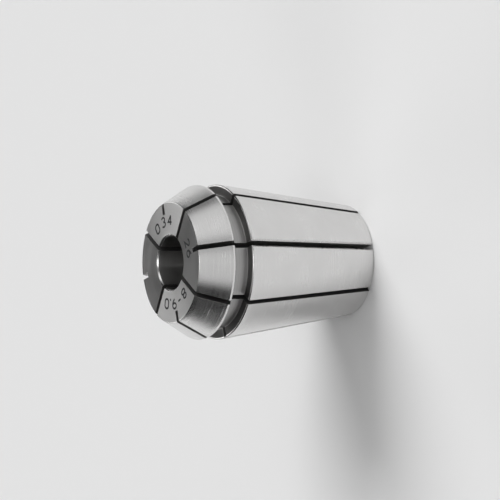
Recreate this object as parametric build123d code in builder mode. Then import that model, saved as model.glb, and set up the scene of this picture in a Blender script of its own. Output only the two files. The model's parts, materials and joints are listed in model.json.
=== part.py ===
from build123d import *

import os
from math import cos, radians, sin, sqrt, tan

# A tap collet for 8 degree collet holders: one turned, hardened and ground
# piece of spring steel. A nut pushes its short nose cone, the holder squeezes
# its long body cone, and eight saw slots, cut from both ends in turn, let it
# close on a tap's round shank. The tap's drive square sits in a square socket
# at the rear of the bore.
#
# Lengths are in millimetres and angles in degrees. The collet stands on its
# rear face at z = 0, with the nose up, and its axis is the Z axis.

# ---------------------------------------------------------------- body
LENGTH = 34.0               # rear face to nose face
GAUGE_DIAMETER = 26.0       # the long cone's nominal size
GAUGE_FROM_NOSE = 8.75      # where the long cone has that size
BODY_TAPER = 8.0            # long cone, each side
NOSE_FACE_DIAMETER = 20.1
NOSE_TAPER = 30.0           # nose cone, each side
RIM_DIAMETER = 25.8         # where the nose cone ends
RIM_LAND = 0.35             # straight stretch behind the nose cone

# ---------------------------------------------------------------- nut groove
GROOVE_DIAMETER = 22.4
GROOVE_FLOOR_WIDTH = 2.25   # up to the square wall that the nut's ring pulls on
GROOVE_FLANK_TILT = 30.0    # front flank, off square to the axis

# ---------------------------------------------------------------- edges
REAR_EDGE_RADIUS = 0.35
WALL_EDGE_RADIUS = 0.3
RIM_BACK_RADIUS = 0.2
RIM_RADIUS = 0.4
SHARP = 0                   # a corner with no radius
FACE_EDGE_CHAMFER = 0.1
BORE_MOUTH_CHAMFER = 0.25
SOCKET_MOUTH_CHAMFER = 0.15
CHAMFER_ANGLE = 45

# ---------------------------------------------------------------- bore
BORE_DIAMETER = 9.0         # the tap's round shank
SQUARE_ACROSS = 7.1         # the tap's drive square, across its flats
SQUARE_CORNER_DIAMETER = 9.3  # the socket's corners, cleared past the shank
SQUARE_LENGTH = 12.0        # length of the square socket, from the rear face
DRILL_POINT = 118.0         # cone that the drill leaves at the bore's end

# ---------------------------------------------------------------- saw slots
SLOTS_PER_END = 4
SLOT_WIDTH = 0.8
SAW_DIAMETER = 63.0
SAW_FLOOR_RADIUS = 2.5      # lowest reach of the saw, inside the open bore
NOSE_NOTCH_RADIUS = 8.2     # floor of the rear slots where they leave the nose face
REAR_NOTCH_DEPTH = 0.7      # floor of the front slots where they leave the rear face
SLOT_EDGE_CHAMFER = 0.2     # along the slots' edges on the long cone
CUTTER_CLEARANCE = 1.0      # how far a cutter runs past the metal

# ---------------------------------------------------------------- worked out
SAW_RADIUS = SAW_DIAMETER / 2
rear_radius = GAUGE_DIAMETER / 2 - (LENGTH - GAUGE_FROM_NOSE) * tan(radians(BODY_TAPER))
groove_radius = GROOVE_DIAMETER / 2
rim_radius = RIM_DIAMETER / 2
face_radius = NOSE_FACE_DIAMETER / 2
rim_top_height = LENGTH - (rim_radius - face_radius) / tan(radians(NOSE_TAPER))
rim_back_height = rim_top_height - RIM_LAND
flank_height = rim_back_height - (rim_radius - groove_radius) * tan(radians(GROOVE_FLANK_TILT))
wall_height = flank_height - GROOVE_FLOOR_WIDTH
wall_radius = rear_radius + wall_height * tan(radians(BODY_TAPER))
slot_step = 360 / SLOTS_PER_END


def saw_run_out(notch_radius):
    """Distance from the saw's lowest point to where its rim is at notch_radius."""
    rise = notch_radius - SAW_FLOOR_RADIUS
    return sqrt(rise * (2 * SAW_RADIUS - rise))


# ---------------------------------------------------------------- cutters
# The saw stops where its round rim still leaves a bridge of metal at the far
# end. The disc is the saw at its stop, and the rectangle is its way out
# through the open end.
front_saw_stop = saw_run_out(rear_radius - REAR_NOTCH_DEPTH)
with BuildPart() as front_saw:
    with BuildSketch(Plane.XZ):
        with Locations((SAW_FLOOR_RADIUS + SAW_RADIUS, front_saw_stop)):
            Circle(SAW_RADIUS)
        with Locations((SAW_FLOOR_RADIUS, front_saw_stop)):
            Rectangle(SAW_RADIUS, LENGTH, align=(Align.MIN, Align.MIN))
    extrude(amount=SLOT_WIDTH / 2, both=True)

rear_saw_stop = LENGTH - saw_run_out(NOSE_NOTCH_RADIUS)
with BuildPart() as rear_saw:
    with BuildSketch(Plane.XZ):
        with Locations((SAW_FLOOR_RADIUS + SAW_RADIUS, rear_saw_stop)):
            Circle(SAW_RADIUS)
        with Locations((SAW_FLOOR_RADIUS, rear_saw_stop)):
            Rectangle(SAW_RADIUS, LENGTH, align=(Align.MIN, Align.MAX))
    extrude(amount=SLOT_WIDTH / 2, both=True)

# The slot edges on the long cone are broken by a bevel that follows the cone
# from behind the rear face into the nut groove. Its section is as wide as the
# slot at the bevel's depth, so it only takes the two edges.
cone_line = Plane(
    origin=(rear_radius, 0, 0),
    x_dir=(0, -1, 0),
    z_dir=(sin(radians(BODY_TAPER)), 0, cos(radians(BODY_TAPER))),
)
bevel_length = wall_height / cos(radians(BODY_TAPER)) + 2 * CUTTER_CLEARANCE
with BuildPart() as slot_edge_bevel:
    with BuildSketch(cone_line.offset(-CUTTER_CLEARANCE)):
        with BuildLine():
            Polyline(
                (-SLOT_WIDTH / 2, -SLOT_EDGE_CHAMFER),
                (SLOT_WIDTH / 2, -SLOT_EDGE_CHAMFER),
                (SLOT_WIDTH / 2 + 2 * SLOT_EDGE_CHAMFER, SLOT_EDGE_CHAMFER),
                (-SLOT_WIDTH / 2 - 2 * SLOT_EDGE_CHAMFER, SLOT_EDGE_CHAMFER),
                close=True,
            )
        make_face()
    extrude(amount=bevel_length)

# ---------------------------------------------------------------- the collet
with BuildPart() as collet:
    # Turned outline: rear face, long cone, square wall, groove, rim, nose cone.
    with BuildSketch(Plane.XZ):
        with BuildLine():
            outline = FilletPolyline(
                (0, 0),
                (rear_radius, 0),
                (wall_radius, wall_height),
                (groove_radius, wall_height),
                (groove_radius, flank_height),
                (rim_radius, rim_back_height),
                (rim_radius, rim_top_height),
                (face_radius, LENGTH),
                (0, LENGTH),
                radius=(
                    REAR_EDGE_RADIUS,
                    WALL_EDGE_RADIUS,
                    SHARP,
                    SHARP,
                    RIM_BACK_RADIUS,
                    RIM_RADIUS,
                    SHARP,
                ),
            )
            Line(outline @ 1, outline @ 0)
        make_face()
    revolve(axis=Axis.Z)

    # Bore for the shank, ending in the drill's cone, and a pilot hole onwards
    # to the rear face that the square socket is broached from.
    with Locations((0, 0, SQUARE_LENGTH)):
        CounterSinkHole(
            radius=SQUARE_ACROSS / 2,
            counter_sink_radius=BORE_DIAMETER / 2,
            counter_sink_angle=DRILL_POINT,
        )
    nose_face = collet.faces().sort_by(Axis.Z)[-1]
    chamfer(nose_face.inner_wires().edges(), length=BORE_MOUTH_CHAMFER)
    nose_face = collet.faces().sort_by(Axis.Z)[-1]
    chamfer(nose_face.outer_wire().edges(), length=FACE_EDGE_CHAMFER)

    # Square socket. Its corners are rounded just past the bore, to clear those
    # of the tap, and lie on the lines of the rear slots.
    with BuildSketch(Plane.XY):
        Rectangle(SQUARE_ACROSS, SQUARE_ACROSS)
        Circle(SQUARE_CORNER_DIAMETER / 2, mode=Mode.INTERSECT)
    extrude(amount=SQUARE_LENGTH, mode=Mode.SUBTRACT)
    with BuildSketch(Plane.XY):
        Circle(SQUARE_CORNER_DIAMETER / 2 + SOCKET_MOUTH_CHAMFER)
    extrude(amount=SQUARE_CORNER_DIAMETER / 2, taper=CHAMFER_ANGLE, mode=Mode.SUBTRACT)

    # Slots that open at the nose, then those that open at the rear, halfway
    # between them, and the bevels along all of them.
    with PolarLocations(0, SLOTS_PER_END):
        add(front_saw.part, mode=Mode.SUBTRACT)
    with PolarLocations(0, SLOTS_PER_END, start_angle=slot_step / 2):
        add(rear_saw.part, mode=Mode.SUBTRACT)
    with PolarLocations(0, 2 * SLOTS_PER_END):
        add(slot_edge_bevel.part, mode=Mode.SUBTRACT)

# ---------------------------------------------------------------- export
os.makedirs("parts", exist_ok=True)
collet.part.label = "collet"
export_step(collet.part, "parts/collet.step")
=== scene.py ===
# %% [markdown]
# A tap collet is one piece of hardened spring steel. It is turned, sawn from
# both ends and then ground bright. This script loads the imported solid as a
# fixed frame and builds the surface that the eye meets around it: the ground
# cones, the turned nose, the sawn slots with their broken edges, and the
# numbers etched into the nose.

# %% load the frame
import json
from math import atan2, cos, degrees, pi, radians, sin, sqrt, tan

import bmesh
import bpy
import numpy as np
from mathutils import Matrix, Vector


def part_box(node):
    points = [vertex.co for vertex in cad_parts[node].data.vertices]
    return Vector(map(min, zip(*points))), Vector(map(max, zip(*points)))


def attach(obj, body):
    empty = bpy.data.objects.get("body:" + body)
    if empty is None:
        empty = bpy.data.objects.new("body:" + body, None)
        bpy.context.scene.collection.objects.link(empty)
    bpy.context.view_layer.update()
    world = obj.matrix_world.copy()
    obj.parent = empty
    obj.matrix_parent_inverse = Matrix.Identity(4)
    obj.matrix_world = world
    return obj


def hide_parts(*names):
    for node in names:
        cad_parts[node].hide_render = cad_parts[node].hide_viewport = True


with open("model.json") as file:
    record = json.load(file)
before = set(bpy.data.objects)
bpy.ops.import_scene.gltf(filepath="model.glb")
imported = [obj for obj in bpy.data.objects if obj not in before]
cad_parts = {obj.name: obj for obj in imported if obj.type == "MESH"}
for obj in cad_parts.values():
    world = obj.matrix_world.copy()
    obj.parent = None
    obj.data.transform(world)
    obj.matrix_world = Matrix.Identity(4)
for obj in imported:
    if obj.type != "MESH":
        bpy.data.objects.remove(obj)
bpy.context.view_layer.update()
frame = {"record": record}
low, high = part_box("collet")
print("solid size in mm:", [round(1000 * side, 2) for side in high - low])

# %% [markdown]
# The frame states the sizes that matter to other parts: the bore, the cones
# and the nut groove. They are read from its mounts, so the surface fits the
# solid. The rest are workshop sizes, such as a saw's width or an edge's radius,
# and each is written once. Everything is in metres, with MM for short sizes.

# %% sizes
MM = 0.001
mounts = {mount["name"]: mount for mount in frame["record"]["mounts"]}


def mount_radius(name):
    """The radius that a round mount states, in metres."""
    return mounts[name]["dims"]["r_mm"] * MM


def mount_height(name):
    """How high above the rear face a mount's point lies, in metres."""
    return mounts[name]["pos_m"][2]


LENGTH = high.z - low.z
BORE = mount_radius("tool_bore")
GAUGE_RADIUS = mount_radius("long_cone")
GAUGE_HEIGHT = mount_height("long_cone")
RIM = mount_radius("nose_cone")
RIM_TOP = mount_height("nose_cone")
GROOVE = mount_radius("nut_groove")
WALL = mount_height("nut_groove")
SOCKET_LENGTH = mounts["drive_square"]["dims"]["length_mm"] * MM

BODY_TAPER = radians(8)
NOSE_TAPER = radians(30)
FLANK_TILT = radians(30)
RIM_LAND = 0.35 * MM
HALF_SQUARE = 3.55 * MM
SOCKET_CORNER = BORE - 0.02 * MM
SOCKET_MOUTH = 4.8 * MM
DRILL_SLOPE = 1 / tan(radians(59))
BORE_CHAMFER = 0.25 * MM

HALF_SLOT = 0.4 * MM
SAW = 31.5 * MM
SAW_FLOOR = 2.5 * MM
NOSE_NOTCH = 8.2 * MM
REAR_NOTCH_DEPTH = 0.7 * MM
CONE_EDGE_BREAK = 0.25 * MM
NOSE_EDGE_BREAK = 0.04 * MM
SHARP_EDGE_BREAK = 0.008 * MM

rear_radius = GAUGE_RADIUS - GAUGE_HEIGHT * tan(BODY_TAPER)
wall_radius = rear_radius + WALL * tan(BODY_TAPER)
face_radius = RIM - (LENGTH - RIM_TOP) * tan(NOSE_TAPER)
rim_back = RIM_TOP - RIM_LAND
flank_foot = rim_back - (RIM - GROOVE) * tan(FLANK_TILT)
radii_found = rear_radius, wall_radius, face_radius
print("rear, wall and face radius in mm:", [round(r / MM, 3) for r in radii_found])

# %% [markdown]
# The section of the collet is a closed outline in two numbers: distance from
# the axis and height. Its corners are rounded, because a bright line of light
# on each edge is what makes steel look machined. A rounded corner is an arc
# that touches both of its sides, and a straight side is a row of points.

# %% outline tools


def straight(start, end, count):
    """Points spaced evenly from start up to, but not at, end."""
    return np.linspace(start, end, count, endpoint=False)


def rounded(before, corner, after, radius, count):
    """An arc that touches both sides of a corner.

    Each touching point lies radius / tan(half the corner's angle) from the
    corner. The arc's centre lies on the line that halves the corner, and the
    points turn evenly about it from one touching point to the other."""
    before, corner, after = (np.array(p, float) for p in (before, corner, after))
    back = (before - corner) / np.linalg.norm(before - corner)
    ahead = (after - corner) / np.linalg.norm(after - corner)
    half = np.arccos(back @ ahead) / 2
    middle = (back + ahead) / np.linalg.norm(back + ahead)
    centre = corner + middle * radius / np.sin(half)
    first = corner + back * radius / np.tan(half) - centre
    sweep = pi - 2 * half
    turn = np.sign(first[0] * (-middle)[1] - first[1] * (-middle)[0]) * sweep
    angles = np.linspace(0, turn, count)
    turned_x = first[0] * np.cos(angles) - first[1] * np.sin(angles)
    turned_y = first[0] * np.sin(angles) + first[1] * np.cos(angles)
    return centre + np.stack([turned_x, turned_y], axis=1)


def saw_run_out(notch):
    """How far past its lowest point the saw's rim has risen to radius notch.

    A chord's height and its half length give the root of the height times the
    saw's diameter less the height."""
    rise = notch - SAW_FLOOR
    return sqrt(rise * (2 * SAW - rise))


rear_notch = rear_radius - REAR_NOTCH_DEPTH
front_saw_stop = saw_run_out(rear_notch)
rear_saw_stop = LENGTH - saw_run_out(NOSE_NOTCH)
front_slot_end = front_saw_stop - saw_run_out(HALF_SQUARE)
rear_slot_end = rear_saw_stop + saw_run_out(BORE)
slot_ends = front_slot_end, rear_slot_end
print("slots reach the bore wall at heights in mm:", [round(end / MM, 2) for end in slot_ends])

# %% [markdown]
# The outline is walked once round: out along the rear face, up the long cone,
# through the nut groove, over the rim and the nose cone, in along the nose
# face, down the bore and the square socket, and back. Each stretch notes
# whether the two kinds of slot cut it, how much its slot edges are broken, and
# which finish it has.

# %% outline
GROUND, TURNED, GROOVED, WALLED, EDGED, SAWN_NOSE, SAWN_REAR, BORED = range(8)
corners = {
    "rear_inner": (SOCKET_MOUTH, 0),
    "rear": (rear_radius, 0),
    "wall_edge": (wall_radius, WALL),
    "groove_wall": (GROOVE, WALL),
    "groove_front": (GROOVE, flank_foot),
    "rim_back": (RIM, rim_back),
    "rim": (RIM, RIM_TOP),
    "face": (face_radius, LENGTH),
    "mouth_top": (BORE + BORE_CHAMFER, LENGTH),
    "mouth_foot": (BORE, LENGTH - BORE_CHAMFER),
    "bore_foot": (BORE, SOCKET_LENGTH),
}
names = list(corners)
radii = {"rear": 0.35, "wall_edge": 0.3, "groove_wall": 0.1, "groove_front": 0.06, "rim_back": 0.2,
         "rim": 0.4, "face": 0.2, "mouth_top": 0.05, "mouth_foot": 0.05}
arc_points = {"rear": 8, "wall_edge": 8, "groove_wall": 5, "groove_front": 5, "rim_back": 5,
              "rim": 5, "face": 5, "mouth_top": 3, "mouth_foot": 3}


def corner_arc(name):
    """The rounded corner with this name, between its two neighbours."""
    place = names.index(name)
    before, after = corners[names[place - 1]], corners[names[place + 1]]
    return rounded(before, corners[name], after, radii[name] * MM, arc_points[name])


arc = {name: corner_arc(name) for name in radii}
socket_foot = SOCKET_MOUTH - HALF_SQUARE
socket_top = SOCKET_LENGTH - (BORE - HALF_SQUARE) * DRILL_SLOPE
# points, front slot open, rear slot open, edge break, finish
stretches = [
    (straight(corners["rear_inner"], (rear_notch, 0), 6), False, True, 0, TURNED),
    (straight((rear_notch, 0), arc["rear"][0], 2), True, True, 0, TURNED),
    (arc["rear"][:-1], True, True, 1, GROUND),
    (straight(arc["rear"][-1], arc["wall_edge"][0], 26), True, True, 1, GROUND),
    (arc["wall_edge"][:-1], True, True, 1, GROUND),
    (straight(arc["wall_edge"][-1], arc["groove_wall"][0], 4), True, True, 0, WALLED),
    (arc["groove_wall"][:-1], True, True, 0, GROOVED),
    (straight(arc["groove_wall"][-1], arc["groove_front"][0], 5), True, True, 0, GROOVED),
    (arc["groove_front"][:-1], True, True, 0, GROOVED),
    (straight(arc["groove_front"][-1], arc["rim_back"][0], 4), True, True, 0, GROOVED),
    (arc["rim_back"][:-1], True, True, 0, GROUND),
    (straight(arc["rim_back"][-1], arc["rim"][0], 1), True, True, 0, GROUND),
    (arc["rim"][:-1], True, True, 0, GROUND),
    (straight(arc["rim"][-1], arc["face"][0], 8), True, True, 0, GROUND),
    (arc["face"][:-1], True, True, 0, GROUND),
    (straight(arc["face"][-1], (NOSE_NOTCH, LENGTH), 3), True, True, 0, TURNED),
    (straight((NOSE_NOTCH, LENGTH), arc["mouth_top"][0], 6), True, False, 0, TURNED),
    (arc["mouth_top"][:-1], True, False, 0, GROUND),
    (straight(arc["mouth_top"][-1], arc["mouth_foot"][0], 1), True, False, 0, GROUND),
    (arc["mouth_foot"][:-1], True, False, 0, BORED),
    (straight(arc["mouth_foot"][-1], (BORE, rear_slot_end), 6), True, False, 0, BORED),
    (straight((BORE, rear_slot_end), corners["bore_foot"], 12), True, True, 0, BORED),
    (straight(corners["bore_foot"], (HALF_SQUARE, socket_top), 1), True, True, 0, BORED),
    (straight((HALF_SQUARE, socket_top), (HALF_SQUARE, front_slot_end), 1), True, True, 0, BORED),
    (straight((HALF_SQUARE, front_slot_end), (HALF_SQUARE, socket_foot), 6), False, True, 0, BORED),
    (straight((HALF_SQUARE, socket_foot), corners["rear_inner"], 1), False, True, 0, BORED),
]


def spread(column):
    """One value per point of the outline, from one value per stretch."""
    return np.concatenate([np.full(len(stretch[0]), stretch[column]) for stretch in stretches])


outline = np.concatenate([stretch[0] for stretch in stretches])
front_open, rear_open, broken, finish = spread(1), spread(2), spread(3), spread(4)
print("outline points:", len(outline))

# %% [markdown]
# Where a slot cuts the surface, its edge is broken by a small bevel. The slots
# that open at the rear have a quarter of a millimetre on the long cone and a
# trace elsewhere, and the others are left nearly sharp. On the two rounded ends
# of the long cone one bevel fades into the other. To sink the bevel's foot into
# the metal, each point of the outline needs the direction into the metal: its
# tangent, turned a quarter turn to the left.

# %% edge breaks
FADE = 0.5
tangent = np.roll(outline, -1, axis=0) - np.roll(outline, 1, axis=0)
tangent /= np.linalg.norm(tangent, axis=1, keepdims=True)
inward = np.stack([-tangent[:, 1], tangent[:, 0]], axis=1)
on_cone = 1 - np.clip(np.abs(np.abs(inward[:, 0]) - cos(BODY_TAPER)) / FADE, 0, 1)
front_break = np.full(len(outline), SHARP_EDGE_BREAK)
rear_break = NOSE_EDGE_BREAK + broken * on_cone * (CONE_EDGE_BREAK - NOSE_EDGE_BREAK)
break_range = rear_break.min(), rear_break.max()
print("rear slots' edge break in mm:", [round(size / MM, 3) for size in break_range])


def sunk(is_open):
    """True where both stretches beside a point are cut, so not at a slot's ends."""
    return is_open & np.roll(is_open, 1)


# %% [markdown]
# The collet repeats every 90 degrees and is the same on both sides of each
# slot, so one eighth makes it all. That eighth runs from the middle of a slot
# that opens at the nose, at 0 degrees, to the middle of one that opens at the
# rear, at 45. Its surface is a grid: rows follow the outline and columns go
# round. The first columns lie in the slot's middle, at its wall and at the
# bevel's outer edge; then come even steps, and the same three at the other end.

# %% one eighth of the surface
ROUND_STEPS = 14
EIGHTH = pi / 4


def flat_radius(angle):
    """Distance to the square socket's flat, half its width over the cosine of
    the angle from the flat's middle, and no more than the socket's corner."""
    return np.minimum(HALF_SQUARE / np.cos(angle), SOCKET_CORNER)


in_socket = np.isclose(outline[:, 0], HALF_SQUARE) & (outline[:, 1] < SOCKET_LENGTH)
height_slope = np.zeros(len(outline))
height_slope[in_socket & np.isclose(outline[:, 1], socket_top)] = DRILL_SLOPE
height_slope[in_socket & np.isclose(outline[:, 1], socket_foot)] = -1


def slot_side(is_open, edge_break):
    """Angles from a slot's middle to its wall and its bevel's edge, and the
    outline sunk at the wall by the bevel. A width over a radius gives the sine
    of an angle."""
    depth = np.where(sunk(is_open), edge_break, 0)[:, None]
    wall_line = outline + depth * inward
    wall_angle = np.arcsin(HALF_SLOT / wall_line[:, 0])
    bevel_angle = np.arcsin((HALF_SLOT + edge_break) / outline[:, 0])
    return wall_line, wall_angle, bevel_angle


front_line, front_wall, front_bevel = slot_side(front_open, front_break)
rear_line, rear_wall, rear_bevel = slot_side(rear_open, rear_break)
front_wall = np.where(in_socket, np.arctan(HALF_SLOT / HALF_SQUARE), front_wall)
rear_wall = np.where(in_socket, np.arcsin(HALF_SLOT / SOCKET_CORNER), rear_wall)
rear_bevel = np.where(in_socket, np.arcsin((HALF_SLOT + rear_break) / SOCKET_CORNER), rear_bevel)

steps = np.linspace(0, 1, ROUND_STEPS + 1)
between = front_bevel[:, None] + steps * (EIGHTH - rear_bevel - front_bevel)[:, None]
slot_middles = np.zeros(len(outline)), np.full(len(outline), EIGHTH)
angle = np.column_stack([slot_middles[0], front_wall, between, EIGHTH - rear_wall, slot_middles[1]])
columns = angle.shape[1]
radius = np.repeat(outline[:, :1], columns, axis=1)
height = np.repeat(outline[:, 1:], columns, axis=1)
radius[:, 1], height[:, 1] = front_line.T
radius[:, -2], height[:, -2] = rear_line.T
radius = np.where(in_socket[:, None], flat_radius(angle), radius)
height = height + height_slope[:, None] * (radius - HALF_SQUARE)
grid = np.stack([radius * np.cos(angle), radius * np.sin(angle), height], axis=2)
print("grid:", grid.shape[:2], "rows and columns")

# %% [markdown]
# The grid's quads leave out the slots' mouths. A slot's wall is flat, so one
# many-sided face fills it: along the outline at the wall, and back along the
# curve that the round saw left. The slot's floor is a narrow strip across that
# same curve. The two kinds of slot differ only in which way the saw came.

# %% faces of one eighth
rows = len(outline)
index = np.arange(rows * columns).reshape(rows, columns)
after = np.roll(index, -1, axis=0)
quads = np.stack([index[:, :-1], index[:, 1:], after[:, 1:], after[:, :-1]], axis=2)
kept = np.ones((rows, columns - 1), bool)
kept[front_open, 0] = False
kept[rear_open, -1] = False
quad_finish = np.repeat(finish[:, None], columns - 1, axis=1)
bevels = np.zeros((rows, columns - 1), bool)
bevels[front_open, 1] = True
bevels[rear_open, -2] = True
quad_finish[bevels] = EDGED
FLOOR_STEPS = 24


def cut_slot(is_open, wall_column, middle_column, saw_stop, opens_up, plane_angle, side, start):
    """One slot's wall and half of its floor: new points, floor quads and the wall.

    The floor's curve is the saw's rim: its distance from the axis is the saw's
    centre less the saw's radius times the cosine of an angle, and its height is
    the centre's less or plus the radius times the sine."""
    cut_rows = np.flatnonzero(is_open)
    first = cut_rows[~np.isin((cut_rows - 1) % rows, cut_rows)][0]
    along = (first + np.arange(len(cut_rows) + 1)) % rows
    last, opening = along[-1], along[0]
    ends = grid[[last, opening], middle_column]
    reach = np.hypot(ends[:, 0], ends[:, 1])
    lift = np.arccos((SAW_FLOOR + SAW - reach) / SAW)
    swing = np.linspace(lift[0], lift[1], FLOOR_STEPS + 1)[1:-1]
    floor_reach = SAW_FLOOR + SAW - SAW * np.cos(swing)
    floor_height = saw_stop + (-1 if opens_up else 1) * SAW * np.sin(swing)
    outward = np.array([cos(plane_angle), sin(plane_angle)])
    across = side * np.array([-sin(plane_angle), cos(plane_angle)]) * HALF_SLOT
    middle_points = np.column_stack([floor_reach[:, None] * outward, floor_height])
    wall_points = np.column_stack([floor_reach[:, None] * outward + across, floor_height])
    added = start + np.arange(2 * (FLOOR_STEPS - 1)).reshape(2, -1)
    from_row, to_row = index[[last]], index[[opening]]
    middle = np.concatenate([from_row[:, middle_column], added[0], to_row[:, middle_column]])
    wall = np.concatenate([from_row[:, wall_column], added[1], to_row[:, wall_column]])
    strip = np.stack([middle[:-1], middle[1:], wall[1:], wall[:-1]], axis=1)
    loop = np.concatenate([index[along, wall_column], added[1]])
    return np.concatenate([middle_points, wall_points]), strip[:, ::side], loop[::side]


start = rows * columns
nose_cut = cut_slot(front_open, 1, 0, front_saw_stop, True, 0.0, 1, start)
rear_start = start + len(nose_cut[0])
rear_cut = cut_slot(
    rear_open, columns - 2, columns - 1, rear_saw_stop, False, EIGHTH, -1, rear_start
)
eighth = np.concatenate([grid.reshape(-1, 3), nose_cut[0], rear_cut[0]])
eighth_quads = np.concatenate([quads[kept], nose_cut[1], rear_cut[1]])
floor_finish = np.repeat([SAWN_NOSE, SAWN_REAR], FLOOR_STEPS)
quads_finish = np.concatenate([quad_finish[kept], floor_finish])
print("one eighth:", len(eighth), "points and", len(eighth_quads) + 2, "faces")

# %% [markdown]
# Eight copies close the ring: four turned by quarter turns, and four mirrored
# first, with their faces wound the other way round. Points that meet within a
# tenth of a micrometre are then made one, so no seam shows.

# %% the whole surface


def ring_points(points):
    """All eight copies of the points, one after another.

    A mirrored copy has its second coordinate negated, and a quarter turn swaps
    the first two coordinates with a change of sign."""
    mirrored = np.stack([points, points * (1, -1, 1)])
    turns = np.stack([np.array(Matrix.Rotation(quarter * pi / 2, 3, "Z")) for quarter in range(4)])
    return np.einsum("tij,mnj->tmni", turns, mirrored).reshape(-1, 3)


def ring_faces(one_faces, point_count):
    """All eight copies of the faces: the same corners, counted on by the number
    of points, and in the opposite order in each mirrored copy."""
    both = np.stack([one_faces, one_faces[:, ::-1] + point_count])
    turned = both[None] + 2 * point_count * np.arange(4).reshape(4, 1, 1, 1)
    return turned.reshape(-1, one_faces.shape[1])


def new_piece(name, mesh):
    """An object for a finished mesh, at the origin, linked to the scene."""
    piece = bpy.data.objects.new(name, mesh)
    bpy.context.scene.collection.objects.link(piece)
    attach(piece, "root")
    return piece


face_groups = eighth_quads, nose_cut[2][None], rear_cut[2][None]
all_faces = [ring_faces(group, len(eighth)) for group in face_groups]
all_finish = [np.tile(quads_finish, 8), np.full(8, SAWN_NOSE), np.full(8, SAWN_REAR)]
mesh = bpy.data.meshes.new("collet_surface")
mesh.from_pydata(ring_points(eighth).tolist(), [], sum((group.tolist() for group in all_faces), []))
mesh.polygons.foreach_set("material_index", np.concatenate(all_finish).astype(np.int32))
WELD = 1e-7
welder = bmesh.new()
welder.from_mesh(mesh)
bmesh.ops.remove_doubles(welder, verts=welder.verts, dist=WELD)
open_edges = sum(len(edge.link_faces) != 2 for edge in welder.edges)
welder.to_mesh(mesh)
welder.free()
mesh.polygons.foreach_set("use_smooth", np.ones(len(mesh.polygons), bool))
SHARP_ANGLE = radians(25)
mesh.set_sharp_from_angle(angle=SHARP_ANGLE)
collet = new_piece("collet_surface", mesh)
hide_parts("collet")
print("surface:", len(mesh.vertices), "points and", len(mesh.polygons), "faces")
print("open edges:", open_edges)

# %% [markdown]
# The nose is marked with plain numbers, which a laser darkens on the finished
# face. A text object could draw them, but a marking laser writes with strokes
# of one width, so each digit here is a few paths: arcs of ellipses and straight
# runs, in a box from -1 to 1 both ways. A flat rectangle carried along each
# path makes the stroke.

# %% digits as paths


def bend(centre_x, centre_y, reach_x, reach_y, start, end, count=19):
    """Points on an ellipse: its centre plus its reaches times the cosine and
    the sine of an angle that goes evenly from start to end, in degrees."""
    angles = np.radians(np.linspace(start, end, count))
    along_x, along_y = reach_x * np.cos(angles), reach_y * np.sin(angles)
    return np.column_stack([centre_x + along_x, centre_y + along_y])


def run(*corners_of_run):
    """A path straight from corner to corner."""
    return np.array(corners_of_run, float)


# start and end in degrees, and points
WHOLE_TURN = 0, 360, 33
closed_oval = np.concatenate([bend(0, 0.4, 1, 0.6, 0, 180), bend(0, -0.4, 1, 0.6, 180, 360)])
six = [
    (bend(0, -0.42, 1, 0.58, *WHOLE_TURN)[:-1], True),
    (bend(1.1, -0.42, 2.1, 1.42, 180, 108), False),
]
# each digit: its paths, and whether each path is closed
digits = {
    "0": [(closed_oval, True)],
    "2": [(np.concatenate([bend(0, 0.48, 1, 0.52, 165, -30), run((-1, -1), (1, -1))]), False)],
    "3": [(bend(0, 0.5, 0.9, 0.5, 150, -90), False), (bend(0, -0.5, 1, 0.5, 90, -150), False)],
    "4": [(run((0.4, 1), (-1, -0.4), (1, -0.4)), False), (run((0.4, 1), (0.4, -1)), False)],
    "6": six,
    "8": [
        (bend(0, 0.5, 0.85, 0.5, *WHOLE_TURN)[:-1], True),
        (bend(0, -0.5, 1, 0.5, *WHOLE_TURN)[:-1], True),
    ],
    "9": [(-path, closed) for path, closed in six],
    "-": [(run((-0.7, 0), (0.7, 0)), False)],
    ".": [(run((0, -1.22), (0, -0.78)), False)],
}
print("digits:", " ".join(digits))

# %% [markdown]
# The numbers read round the face with their tops outward, so each character is
# placed on its own: its middle goes to a radius and an angle, and it turns with
# the angle. The strokes are shallow prisms that lie in the face and stand a
# hundredth of a millimetre proud, as the burr of the laser does. The second path
# of a digit stands a tenth of that higher, so that no two tops lie in one plane.

# %% etched numbers
MARK_RISE = 0.01 * MM
MARK_DEPTH = 0.03 * MM
PATH_STEP = 0.1
STROKE = 0.17
GLYPH_WIDTH = 0.8
MITRE_LIMIT = 0.25
# characters, height and middle radius in mm, angle of each middle in degrees
markings = [
    ("034", 1.9, 7.05, (68, 49, 30)),
    ("26", 1.75, 6.85, (-31.5, -46.5)),
    ("8-9.0", 1.9, 6.95, (-106, -122, -138, -149, -160)),
]


def mitred_sides(path, closed):
    """Both edges of a stroke along a path, half the stroke's width from it.

    At each point the edge moves out along the sum of the normals of the two
    runs that meet there, divided by one plus the cosine of the angle between
    them, so that the stroke keeps its width round a corner."""
    ahead = np.roll(path, -1, axis=0) - path
    if not closed:
        ahead[-1] = ahead[-2]
    normal = np.column_stack([-ahead[:, 1], ahead[:, 0]]) / np.linalg.norm(ahead, axis=1)[:, None]
    before = np.roll(normal, 1, axis=0)
    if not closed:
        before[0] = normal[0]
    mitre = (normal + before) / np.maximum(1 + (normal * before).sum(axis=1), MITRE_LIMIT)[:, None]
    return path + mitre * STROKE / 2, path - mitre * STROKE / 2


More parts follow.
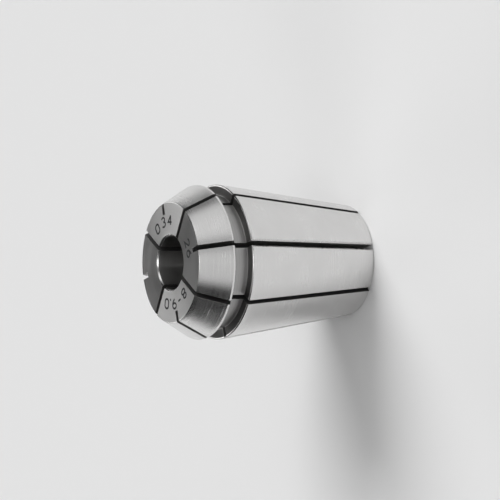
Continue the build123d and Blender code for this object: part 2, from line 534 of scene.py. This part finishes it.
def stroke_prism(path, closed, rise):
    """A rectangle carried along a path: rows along the path and four corners
    round the rectangle, as points in the plane with a height, and faces."""
    left, right_side = mitred_sides(path, closed)
    count = len(path)
    section = np.stack([left, right_side, right_side, left], axis=1)
    levels = np.broadcast_to([rise, rise, -MARK_DEPTH, -MARK_DEPTH], (count, 4))
    numbered = np.arange(4 * count).reshape(count, 4)
    following = np.roll(numbered, -1, axis=0)
    beside, beyond = np.roll(numbered, -1, axis=1), np.roll(following, -1, axis=1)
    sides = np.stack([numbered, beside, beyond, following], axis=2)
    sides = sides if closed else sides[:-1]
    ends = numbered[:0] if closed else np.stack([numbered[0, ::-1], numbered[-1]])
    return section.reshape(-1, 2), levels.ravel(), np.concatenate([sides.reshape(-1, 4), ends])


mark_points, mark_faces, mark_count = [], [], 0
for text, size, middle_radius, angles in markings:
    half_box = np.array([GLYPH_WIDTH - STROKE, 1 - STROKE]) / 2
    for character, place in zip(text, angles):
        for number, (path, closed) in enumerate(digits[character]):
            rise = MARK_RISE * (1 + PATH_STEP * number)
            flat, levels, prism_faces = stroke_prism(path * half_box, closed, rise)
            outward = flat[:, 1] * size * MM + middle_radius * MM
            across = flat[:, 0] * size * MM
            turn = radians(place)
            mark_points.append(np.column_stack([
                outward * cos(turn) + across * sin(turn),
                outward * sin(turn) - across * cos(turn),
                LENGTH + levels,
            ]))
            mark_faces.append(prism_faces + mark_count)
            mark_count += len(flat)
marks_mesh = bpy.data.meshes.new("etched_numbers")
stroke_points, stroke_faces = np.concatenate(mark_points), np.concatenate(mark_faces)
marks_mesh.from_pydata(stroke_points.tolist(), [], stroke_faces.tolist())
outward_faces = bmesh.new()
outward_faces.from_mesh(marks_mesh)
bmesh.ops.recalc_face_normals(outward_faces, faces=outward_faces.faces)
outward_faces.to_mesh(marks_mesh)
outward_faces.free()
marks = new_piece("etched_numbers", marks_mesh)
print("numbers:", len(marks_mesh.polygons), "faces")

# %% [markdown]
# All the bright finishes are the same steel, so one function will make each
# material and only its numbers change. A material is a graph of nodes. These
# short helpers write one node each, and take sockets or plain numbers, so that
# a formula reads from the inside out.

# %% node helpers


def put(tree, kind, inputs, **settings):
    """A node whose inputs, in order, are linked sockets, constants or None."""
    made = tree.nodes.new(kind)
    for name, setting in settings.items():
        setattr(made, name, setting)
    for socket, given in zip(made.inputs, inputs):
        if isinstance(given, bpy.types.NodeSocket):
            tree.links.new(given, socket)
        elif given is not None:
            socket.default_value = given
    return made


def maths(tree, operation, *inputs):
    """One step of arithmetic on numbers."""
    return put(tree, "ShaderNodeMath", inputs, operation=operation).outputs[0]


def vectors(tree, operation, *inputs):
    """One step of arithmetic on vectors."""
    return put(tree, "ShaderNodeVectorMath", inputs, operation=operation).outputs[0]


def remap(tree, value, low_in, high_in, low_out, high_out, blend="LINEAR"):
    """A number moved from one range to another, and held at the ends."""
    inputs = (value, low_in, high_in, low_out, high_out)
    return put(tree, "ShaderNodeMapRange", inputs, interpolation_type=blend).outputs[0]


def noise(tree, place, detail):
    """Smooth noise from 0 to 1 at a place whose unit is one grain."""
    return put(tree, "ShaderNodeTexNoise", (place, None, 1, detail)).outputs[0]


print("helpers: put, maths, vectors, remap, noise")

# %% [markdown]
# Grinding and turning leave fine rings round the axis. A noise that is
# stretched round the axis and squeezed along the surface draws them. Its first
# two coordinates are x and y, which change slowly, and its third is the height
# plus the distance from the axis, which changes fast on cones and on flat
# faces alike. A saw leaves arcs instead: its third coordinate is the height at
# which the saw's centre stood when its rim passed the point.

# %% tool marks as coordinates


def steel_place(tree):
    """The point on the piece, its distance from the axis and its height."""
    place = put(tree, "ShaderNodeTexCoord", ()).outputs["Object"]
    flat = vectors(tree, "MULTIPLY", place, (1, 1, 0))
    reach = put(tree, "ShaderNodeVectorMath", (flat,), operation="LENGTH")
    height = put(tree, "ShaderNodeSeparateXYZ", (place,)).outputs[2]
    return place, reach.outputs["Value"], height


def marks_round(tree, place, along, length, pitch):
    """Coordinates for marks of a length round the axis and a pitch along."""
    flat = vectors(tree, "MULTIPLY", place, (1 / length, 1 / length, 0))
    pitches = maths(tree, "DIVIDE", along, pitch)
    squeezed = put(tree, "ShaderNodeCombineXYZ", (0, 0, pitches)).outputs[0]
    return vectors(tree, "ADD", flat, squeezed)


def ring_height(tree, reach, height):
    """The height plus the distance from the axis."""
    return maths(tree, "ADD", reach, height)


def saw_height(tree, reach, height, direction):
    """The saw centre's height: the point's height plus or less the root of the
    saw's radius squared less the squared distance from the point to the
    upright line through the saw's centre."""
    aside = maths(tree, "SUBTRACT", SAW + SAW_FLOOR, reach)
    squared = maths(tree, "MULTIPLY", aside, aside)
    rise = maths(tree, "SQRT", maths(tree, "SUBTRACT", SAW * SAW, squared))
    return maths(tree, "MULTIPLY_ADD", rise, direction, height)


print("saw's radius for the marks in mm:", round(SAW / MM, 1))

# %% [markdown]
# The marks work in three ways. They lift the surface by less than a hundredth
# of a millimetre, which breaks up reflections. They change the roughness, and
# so do slow clouds a few millimetres wide, as handling and coolant leave. They
# also darken the colour a little. Rings smear a reflection across themselves:
# the shader's anisotropy does that, with the tangent running round the axis and
# the smear a quarter of a turn from it. The slots let the jaws spring apart a
# little, so on the nose face each jaw catches the light as a whole: there the
# tangent is pulled towards the jaw's own middle.

# %% steel finishes
CLOUD = 4 * MM
HAIR_PITCH = 0.07 * MM
MARK_SHARE = 1.0
HAIR_SHARE = 0.5
RING_SHARE = 0.5
CROSSWISE = 0.25
SUM_LOW, SUM_HIGH = 0.6, 1.4


def jaw_grain(tree, place, rings):
    """The direction round the axis, pulled towards each jaw's own middle.

    Between slots at quarter turns, that middle's direction is minus the sign of
    y, then the sign of x."""
    parts = put(tree, "ShaderNodeSeparateXYZ", (place,)).outputs
    across = maths(tree, "MULTIPLY", maths(tree, "SIGN", parts[1]), -1)
    whole = put(tree, "ShaderNodeCombineXYZ", (across, maths(tree, "SIGN", parts[0]), 0)).outputs[0]
    share = vectors(tree, "SCALE", rings, None, None, RING_SHARE)
    return vectors(tree, "NORMALIZE", vectors(tree, "ADD", share, whole))


def steel(
    name, colour, roughness, swing, stretch, length, pitch, lift, saw=0, metal=1.0, jaws=False
):
    """A steel finish.

    Marks and clouds are added up, and their sum, from SUM_LOW to SUM_HIGH, moves
    the roughness by swing either way and darkens the colour by up to twice
    swing. Stretch is the anisotropy. Marks have a length and a pitch, and lift
    the surface by lift metres. Saw is 0 for rings, or the side that a saw came
    from. With jaws, each jaw of the nose catches the light as a whole."""
    material = bpy.data.materials.new(name)
    material.use_nodes = True
    tree = material.node_tree
    shader = tree.nodes["Principled BSDF"].inputs
    place, reach, height = steel_place(tree)
    along = saw_height(tree, reach, height, saw) if saw else ring_height(tree, reach, height)
    marks = noise(tree, marks_round(tree, place, along, length, pitch), 2)
    hairs = noise(tree, marks_round(tree, place, along, length, HAIR_PITCH), 1)
    clouds = noise(tree, vectors(tree, "SCALE", place, None, None, 1 / CLOUD), 2)
    both = maths(tree, "MULTIPLY_ADD", marks, MARK_SHARE, clouds)
    tone = remap(tree, both, SUM_LOW, SUM_HIGH, 1 - 2 * swing, 1)
    uneven = remap(tree, both, SUM_LOW, SUM_HIGH, roughness - swing, roughness + swing)
    shader["Metallic"].default_value = metal
    shader["Anisotropic"].default_value = stretch
    shader["Anisotropic Rotation"].default_value = CROSSWISE
    tree.links.new(vectors(tree, "SCALE", colour, None, None, tone), shader["Base Color"])
    tree.links.new(uneven, shader["Roughness"])
    relief = maths(tree, "MULTIPLY_ADD", hairs, HAIR_SHARE, marks)
    bump = put(tree, "ShaderNodeBump", (1, lift))
    tree.links.new(relief, bump.inputs["Height"])
    tree.links.new(bump.outputs[0], shader["Normal"])
    if stretch:
        grain = put(tree, "ShaderNodeTangent", (), direction_type="RADIAL", axis="Z").outputs[0]
        tree.links.new(jaw_grain(tree, place, grain) if jaws else grain, shader["Tangent"])
    return material


BRIGHT, FACED = (0.8, 0.795, 0.79), (0.68, 0.675, 0.67)
DULL_AND_SHADE, SAWN = (0.48, 0.475, 0.47), (0.45, 0.445, 0.44)
REAMED, SKIN_AND_SHADE = (0.38, 0.375, 0.37), (0.2, 0.197, 0.193)
OXIDE_AND_SHADE, SOOT = (0.06, 0.059, 0.058), (0.045, 0.045, 0.047)
# name, colour, roughness, swing, stretch, the marks' length and pitch, and lift
finishes = {
    GROUND: steel("ground_finish", BRIGHT, 0.24, 0.06, 0.6, 40 * MM, 0.06 * MM, 6e-7),
    TURNED: steel("turned_face", FACED, 0.4, 0.07, 0.85, 16 * MM, 0.09 * MM, 1.2e-6, jaws=True),
    # Painted shade: the groove's colour is darker than its turned finish alone, as the shade under
    # the rim.
    GROOVED: steel("turned_groove", DULL_AND_SHADE, 0.36, 0.13, 0.5, 10 * MM, 0.2 * MM, 5e-6),
    # Painted shade: the groove wall is darker still, partly its unground skin and partly painted
    # shade in the groove.
    WALLED: steel("groove_wall", SKIN_AND_SHADE, 0.42, 0.18, 0.4, 10 * MM, 0.2 * MM, 5e-6),
    EDGED: steel("broken_edge", BRIGHT, 0.3, 0.12, 0, 2 * MM, 0.3 * MM, 1e-6),
    # Painted shade: the slots that open at the nose are near black inside, partly sawn oxide and
    # partly painted shade of those narrow slots.
    SAWN_NOSE: steel(
        "sawn_from_nose", OXIDE_AND_SHADE, 0.6, 0.1, 0, 6 * MM, 0.15 * MM, 4e-6, saw=1, metal=0.3
    ),
    SAWN_REAR: steel("sawn_from_rear", SAWN, 0.42, 0.12, 0, 6 * MM, 0.15 * MM, 4e-6, saw=-1),
    BORED: steel("reamed_bore", REAMED, 0.42, 0.1, 0.8, 16 * MM, 0.16 * MM, 1e-6),
}
for finish_number in sorted(finishes):
    mesh.materials.append(finishes[finish_number])
laser_mark = steel("laser_mark", SOOT, 0.55, 0.08, 0, 0.5 * MM, 0.3 * MM, 1e-6, metal=0.4)
marks_mesh.materials.append(laser_mark)
print("finishes:", [material.name for material in mesh.materials] + [laser_mark.name])

# %% [markdown]
# The camera stands half a metre away with a long lens. It looks at the collet
# from above and to the side, and it is rolled so that the axis runs across the
# picture with the nose to the left. Its three directions are worked out from
# two angles and the roll.

# %% camera
AZIMUTH, ELEVATION, ROLL = radians(30.82), radians(29.497), radians(90.633)
CAMERA_DISTANCE = 0.5
FOCAL_LENGTH, SENSOR_WIDTH = 213.34, 36
NEAREST_SEEN, FARTHEST_SEEN = 0.01, 20
MOVED_LEFT, MOVED_UP = 1.533 * MM, 1.943 * MM
forward = Vector((-sin(AZIMUTH) * cos(ELEVATION), cos(AZIMUTH) * cos(ELEVATION), -sin(ELEVATION)))
level_right = Vector((cos(AZIMUTH), sin(AZIMUTH), 0))
up = level_right.cross(forward) * cos(ROLL) + level_right * sin(ROLL)
right = forward.cross(up)
middle = Vector((0, 0, LENGTH / 2))
camera_data = bpy.data.cameras.new("camera")
camera_data.sensor_width = SENSOR_WIDTH
camera_data.lens = FOCAL_LENGTH
camera_data.clip_start, camera_data.clip_end = NEAREST_SEEN, FARTHEST_SEEN
camera = bpy.data.objects.new("camera", camera_data)
bpy.context.scene.collection.objects.link(camera)
camera.matrix_world = Matrix((right, up, -forward)).transposed().to_4x4()
camera.location = middle - forward * CAMERA_DISTANCE - right * MOVED_LEFT + up * MOVED_UP
bpy.context.scene.camera = camera
print("camera at mm:", [round(place / MM, 1) for place in camera.location])

# %% [markdown]
# The floor is one plain pale sheet that curves up all round into a low backdrop,
# as a roll of studio paper does, so no horizon shows from any side. It is a
# profile turned about the vertical axis. It takes the collet's shadow. Bright
# steel is close to a mirror, so the long cone shows the paper beside it, lit on
# one side and shaded by the collet itself on the other. The backdrop is kept
# low, because above it the steel sees the studio's lights and its dark.

# %% floor and backdrop
MIDDLE_REACH, FLAT_REACH, COVE, BACKDROP_TOP = 0.5, 1.4, 0.15, 0.2
PALE = 0.76
PAPER_ROUGHNESS, PAPER_GLOSS = 0.9, 0.1


def sheet_profile():
    """Flat out to the cove, a quarter circle up, and straight to the top. On the
    circle, the distance grows by its radius times the sine of an angle, and the
    height is the radius times one less the cosine."""
    turn = np.linspace(0, pi / 2, 9)
    cove = np.column_stack([FLAT_REACH + COVE * np.sin(turn), COVE * (1 - np.cos(turn))])
    return np.concatenate([[(MIDDLE_REACH, 0)], cove, [(FLAT_REACH + COVE, BACKDROP_TOP)]])


profile = sheet_profile()
AROUND = 96
swept = np.linspace(0, 2 * pi, AROUND, endpoint=False)
sheet = np.stack([
    profile[:, :1] * np.cos(swept),
    profile[:, :1] * np.sin(swept),
    np.repeat(profile[:, 1:], AROUND, axis=1),
], axis=2)
numbered = np.arange(len(profile) * AROUND).reshape(len(profile), AROUND)
turned_on = np.roll(numbered, -1, axis=1)
sheet_faces = np.stack([numbered[:-1], numbered[1:], turned_on[1:], turned_on[:-1]], axis=2)
floor_faces = sheet_faces.reshape(-1, 4).tolist() + [numbered[0].tolist()]
floor_mesh = bpy.data.meshes.new("floor")
floor_mesh.from_pydata(sheet.reshape(-1, 3).tolist(), [], floor_faces)
floor_mesh.polygons.foreach_set("use_smooth", np.ones(len(floor_mesh.polygons), bool))
floor = bpy.data.objects.new("floor", floor_mesh)
bpy.context.scene.collection.objects.link(floor)
paper = bpy.data.materials.new("pale_paper")
paper.use_nodes = True
paper_shader = paper.node_tree.nodes["Principled BSDF"].inputs
paper_shader["Base Color"].default_value = (PALE, PALE, PALE, 1)
paper_shader["Roughness"].default_value = PAPER_ROUGHNESS
paper_shader["Specular IOR Level"].default_value = PAPER_GLOSS
floor_mesh.materials.append(paper)
print("floor normal:", tuple(round(part, 3) for part in floor_mesh.polygons[-1].normal))

# %% [markdown]
# Above the paper, the world is the studio that the steel mirrors. It is nearly
# dark, with seven round soft boxes in it. Each is full within one angle of its
# middle, fades smoothly and ends at a second angle. One in front and one to the
# right light the nose cone, two overhead draw the bright lines on the edges, two
# behind catch the turned face, and a weak one straight above keeps that face
# readable from the top. Directions are counted from the camera's side.

# %% soft boxes in the world
CAMERA_SIDE = degrees(atan2(-forward.y, -forward.x))
DARK = 0.02
world = bpy.data.worlds.new("studio")
bpy.context.scene.world = world
world.use_nodes = True
sky = world.node_tree


def toward(turn, elevation):
    """The unit direction at a turn from the camera's side and an elevation."""
    across, above = radians(CAMERA_SIDE + turn), radians(elevation)
    return Vector((cos(across) * cos(above), sin(across) * cos(above), sin(above)))


def soft_box(turn, elevation, full, end, level):
    """Light round a direction. The dot product with the direction looked in is
    the cosine of the angle between them, and it fades between two cosines."""
    looked = put(sky, "ShaderNodeTexCoord", ()).outputs["Generated"]
    towards_box = looked, toward(turn, elevation)
    facing = put(sky, "ShaderNodeVectorMath", towards_box, operation="DOT_PRODUCT").outputs["Value"]
    dark_from, full_from = cos(radians(end)), cos(radians(full))
    return remap(sky, facing, dark_from, full_from, 0, level, "SMOOTHSTEP")


# turn and elevation of the middle, full angle, end angle, level
soft_boxes = {
    "front": (-6, 32, 16, 36, 0.62),
    "right": (66, 20, 18, 40, 0.7),
    "overhead": (0, 64, 6, 13, 2.4),
    "overhead_right": (74, 50, 8, 18, 0.8),
    "top": (0, 90, 10, 36, 0.4),
    "back_left": (157, 27, 8, 15, 1.8),
    "back_right": (-157, 27, 8, 15, 1.8),
}
glow = DARK
for box in soft_boxes.values():
    glow = maths(sky, "ADD", soft_box(*box), glow)
sky.nodes["Background"].inputs["Color"].default_value = (1, 1, 1, 1)
sky.links.new(glow, sky.nodes["Background"].inputs["Strength"])
print("soft boxes:", len(soft_boxes), "round azimuth", round(CAMERA_SIDE, 1))

# %% [markdown]
# One broad lamp, as a large window would be, stands to the right and a little
# behind. It brings the paper to its own colour and lays the collet's soft shadow
# towards the side that is to look dark. A low fill across from it is there for
# the backdrop, and hardly lights the floor. Both are far away, so their level is
# the same all over. The steel has its soft boxes, so it doesn't mirror the lamps.

# %% lamps
LAMP_WIDTH = radians(44)


def broad_lamp(name, turn, elevation, energy):
    """A far lamp in a direction, and its level on the floor: its energy times
    the sine of its elevation, over pi."""
    light = bpy.data.lights.new(name, "SUN")
    light.energy = energy
    light.angle = LAMP_WIDTH
    lamp = bpy.data.objects.new(name, light)
    bpy.context.scene.collection.objects.link(lamp)
    lamp.rotation_mode = "QUATERNION"
    lamp.rotation_quaternion = toward(turn, elevation).to_track_quat("Z", "Y")
    lamp.visible_glossy = False
    return energy * sin(radians(elevation)) / pi


# turn and elevation in degrees, and energy
lamps = {"window_lamp": (104, 33, 3.05), "fill_lamp": (-76, 12, 1.0)}
lamp_level = sum(broad_lamp(name, *facts) for name, facts in lamps.items())
print("the lamps' level on the floor:", round(lamp_level, 2))

# %% [markdown]
# The picture's tones are the renderer's plain ones.

# %% finish
bpy.context.scene.view_settings.view_transform = "Standard"
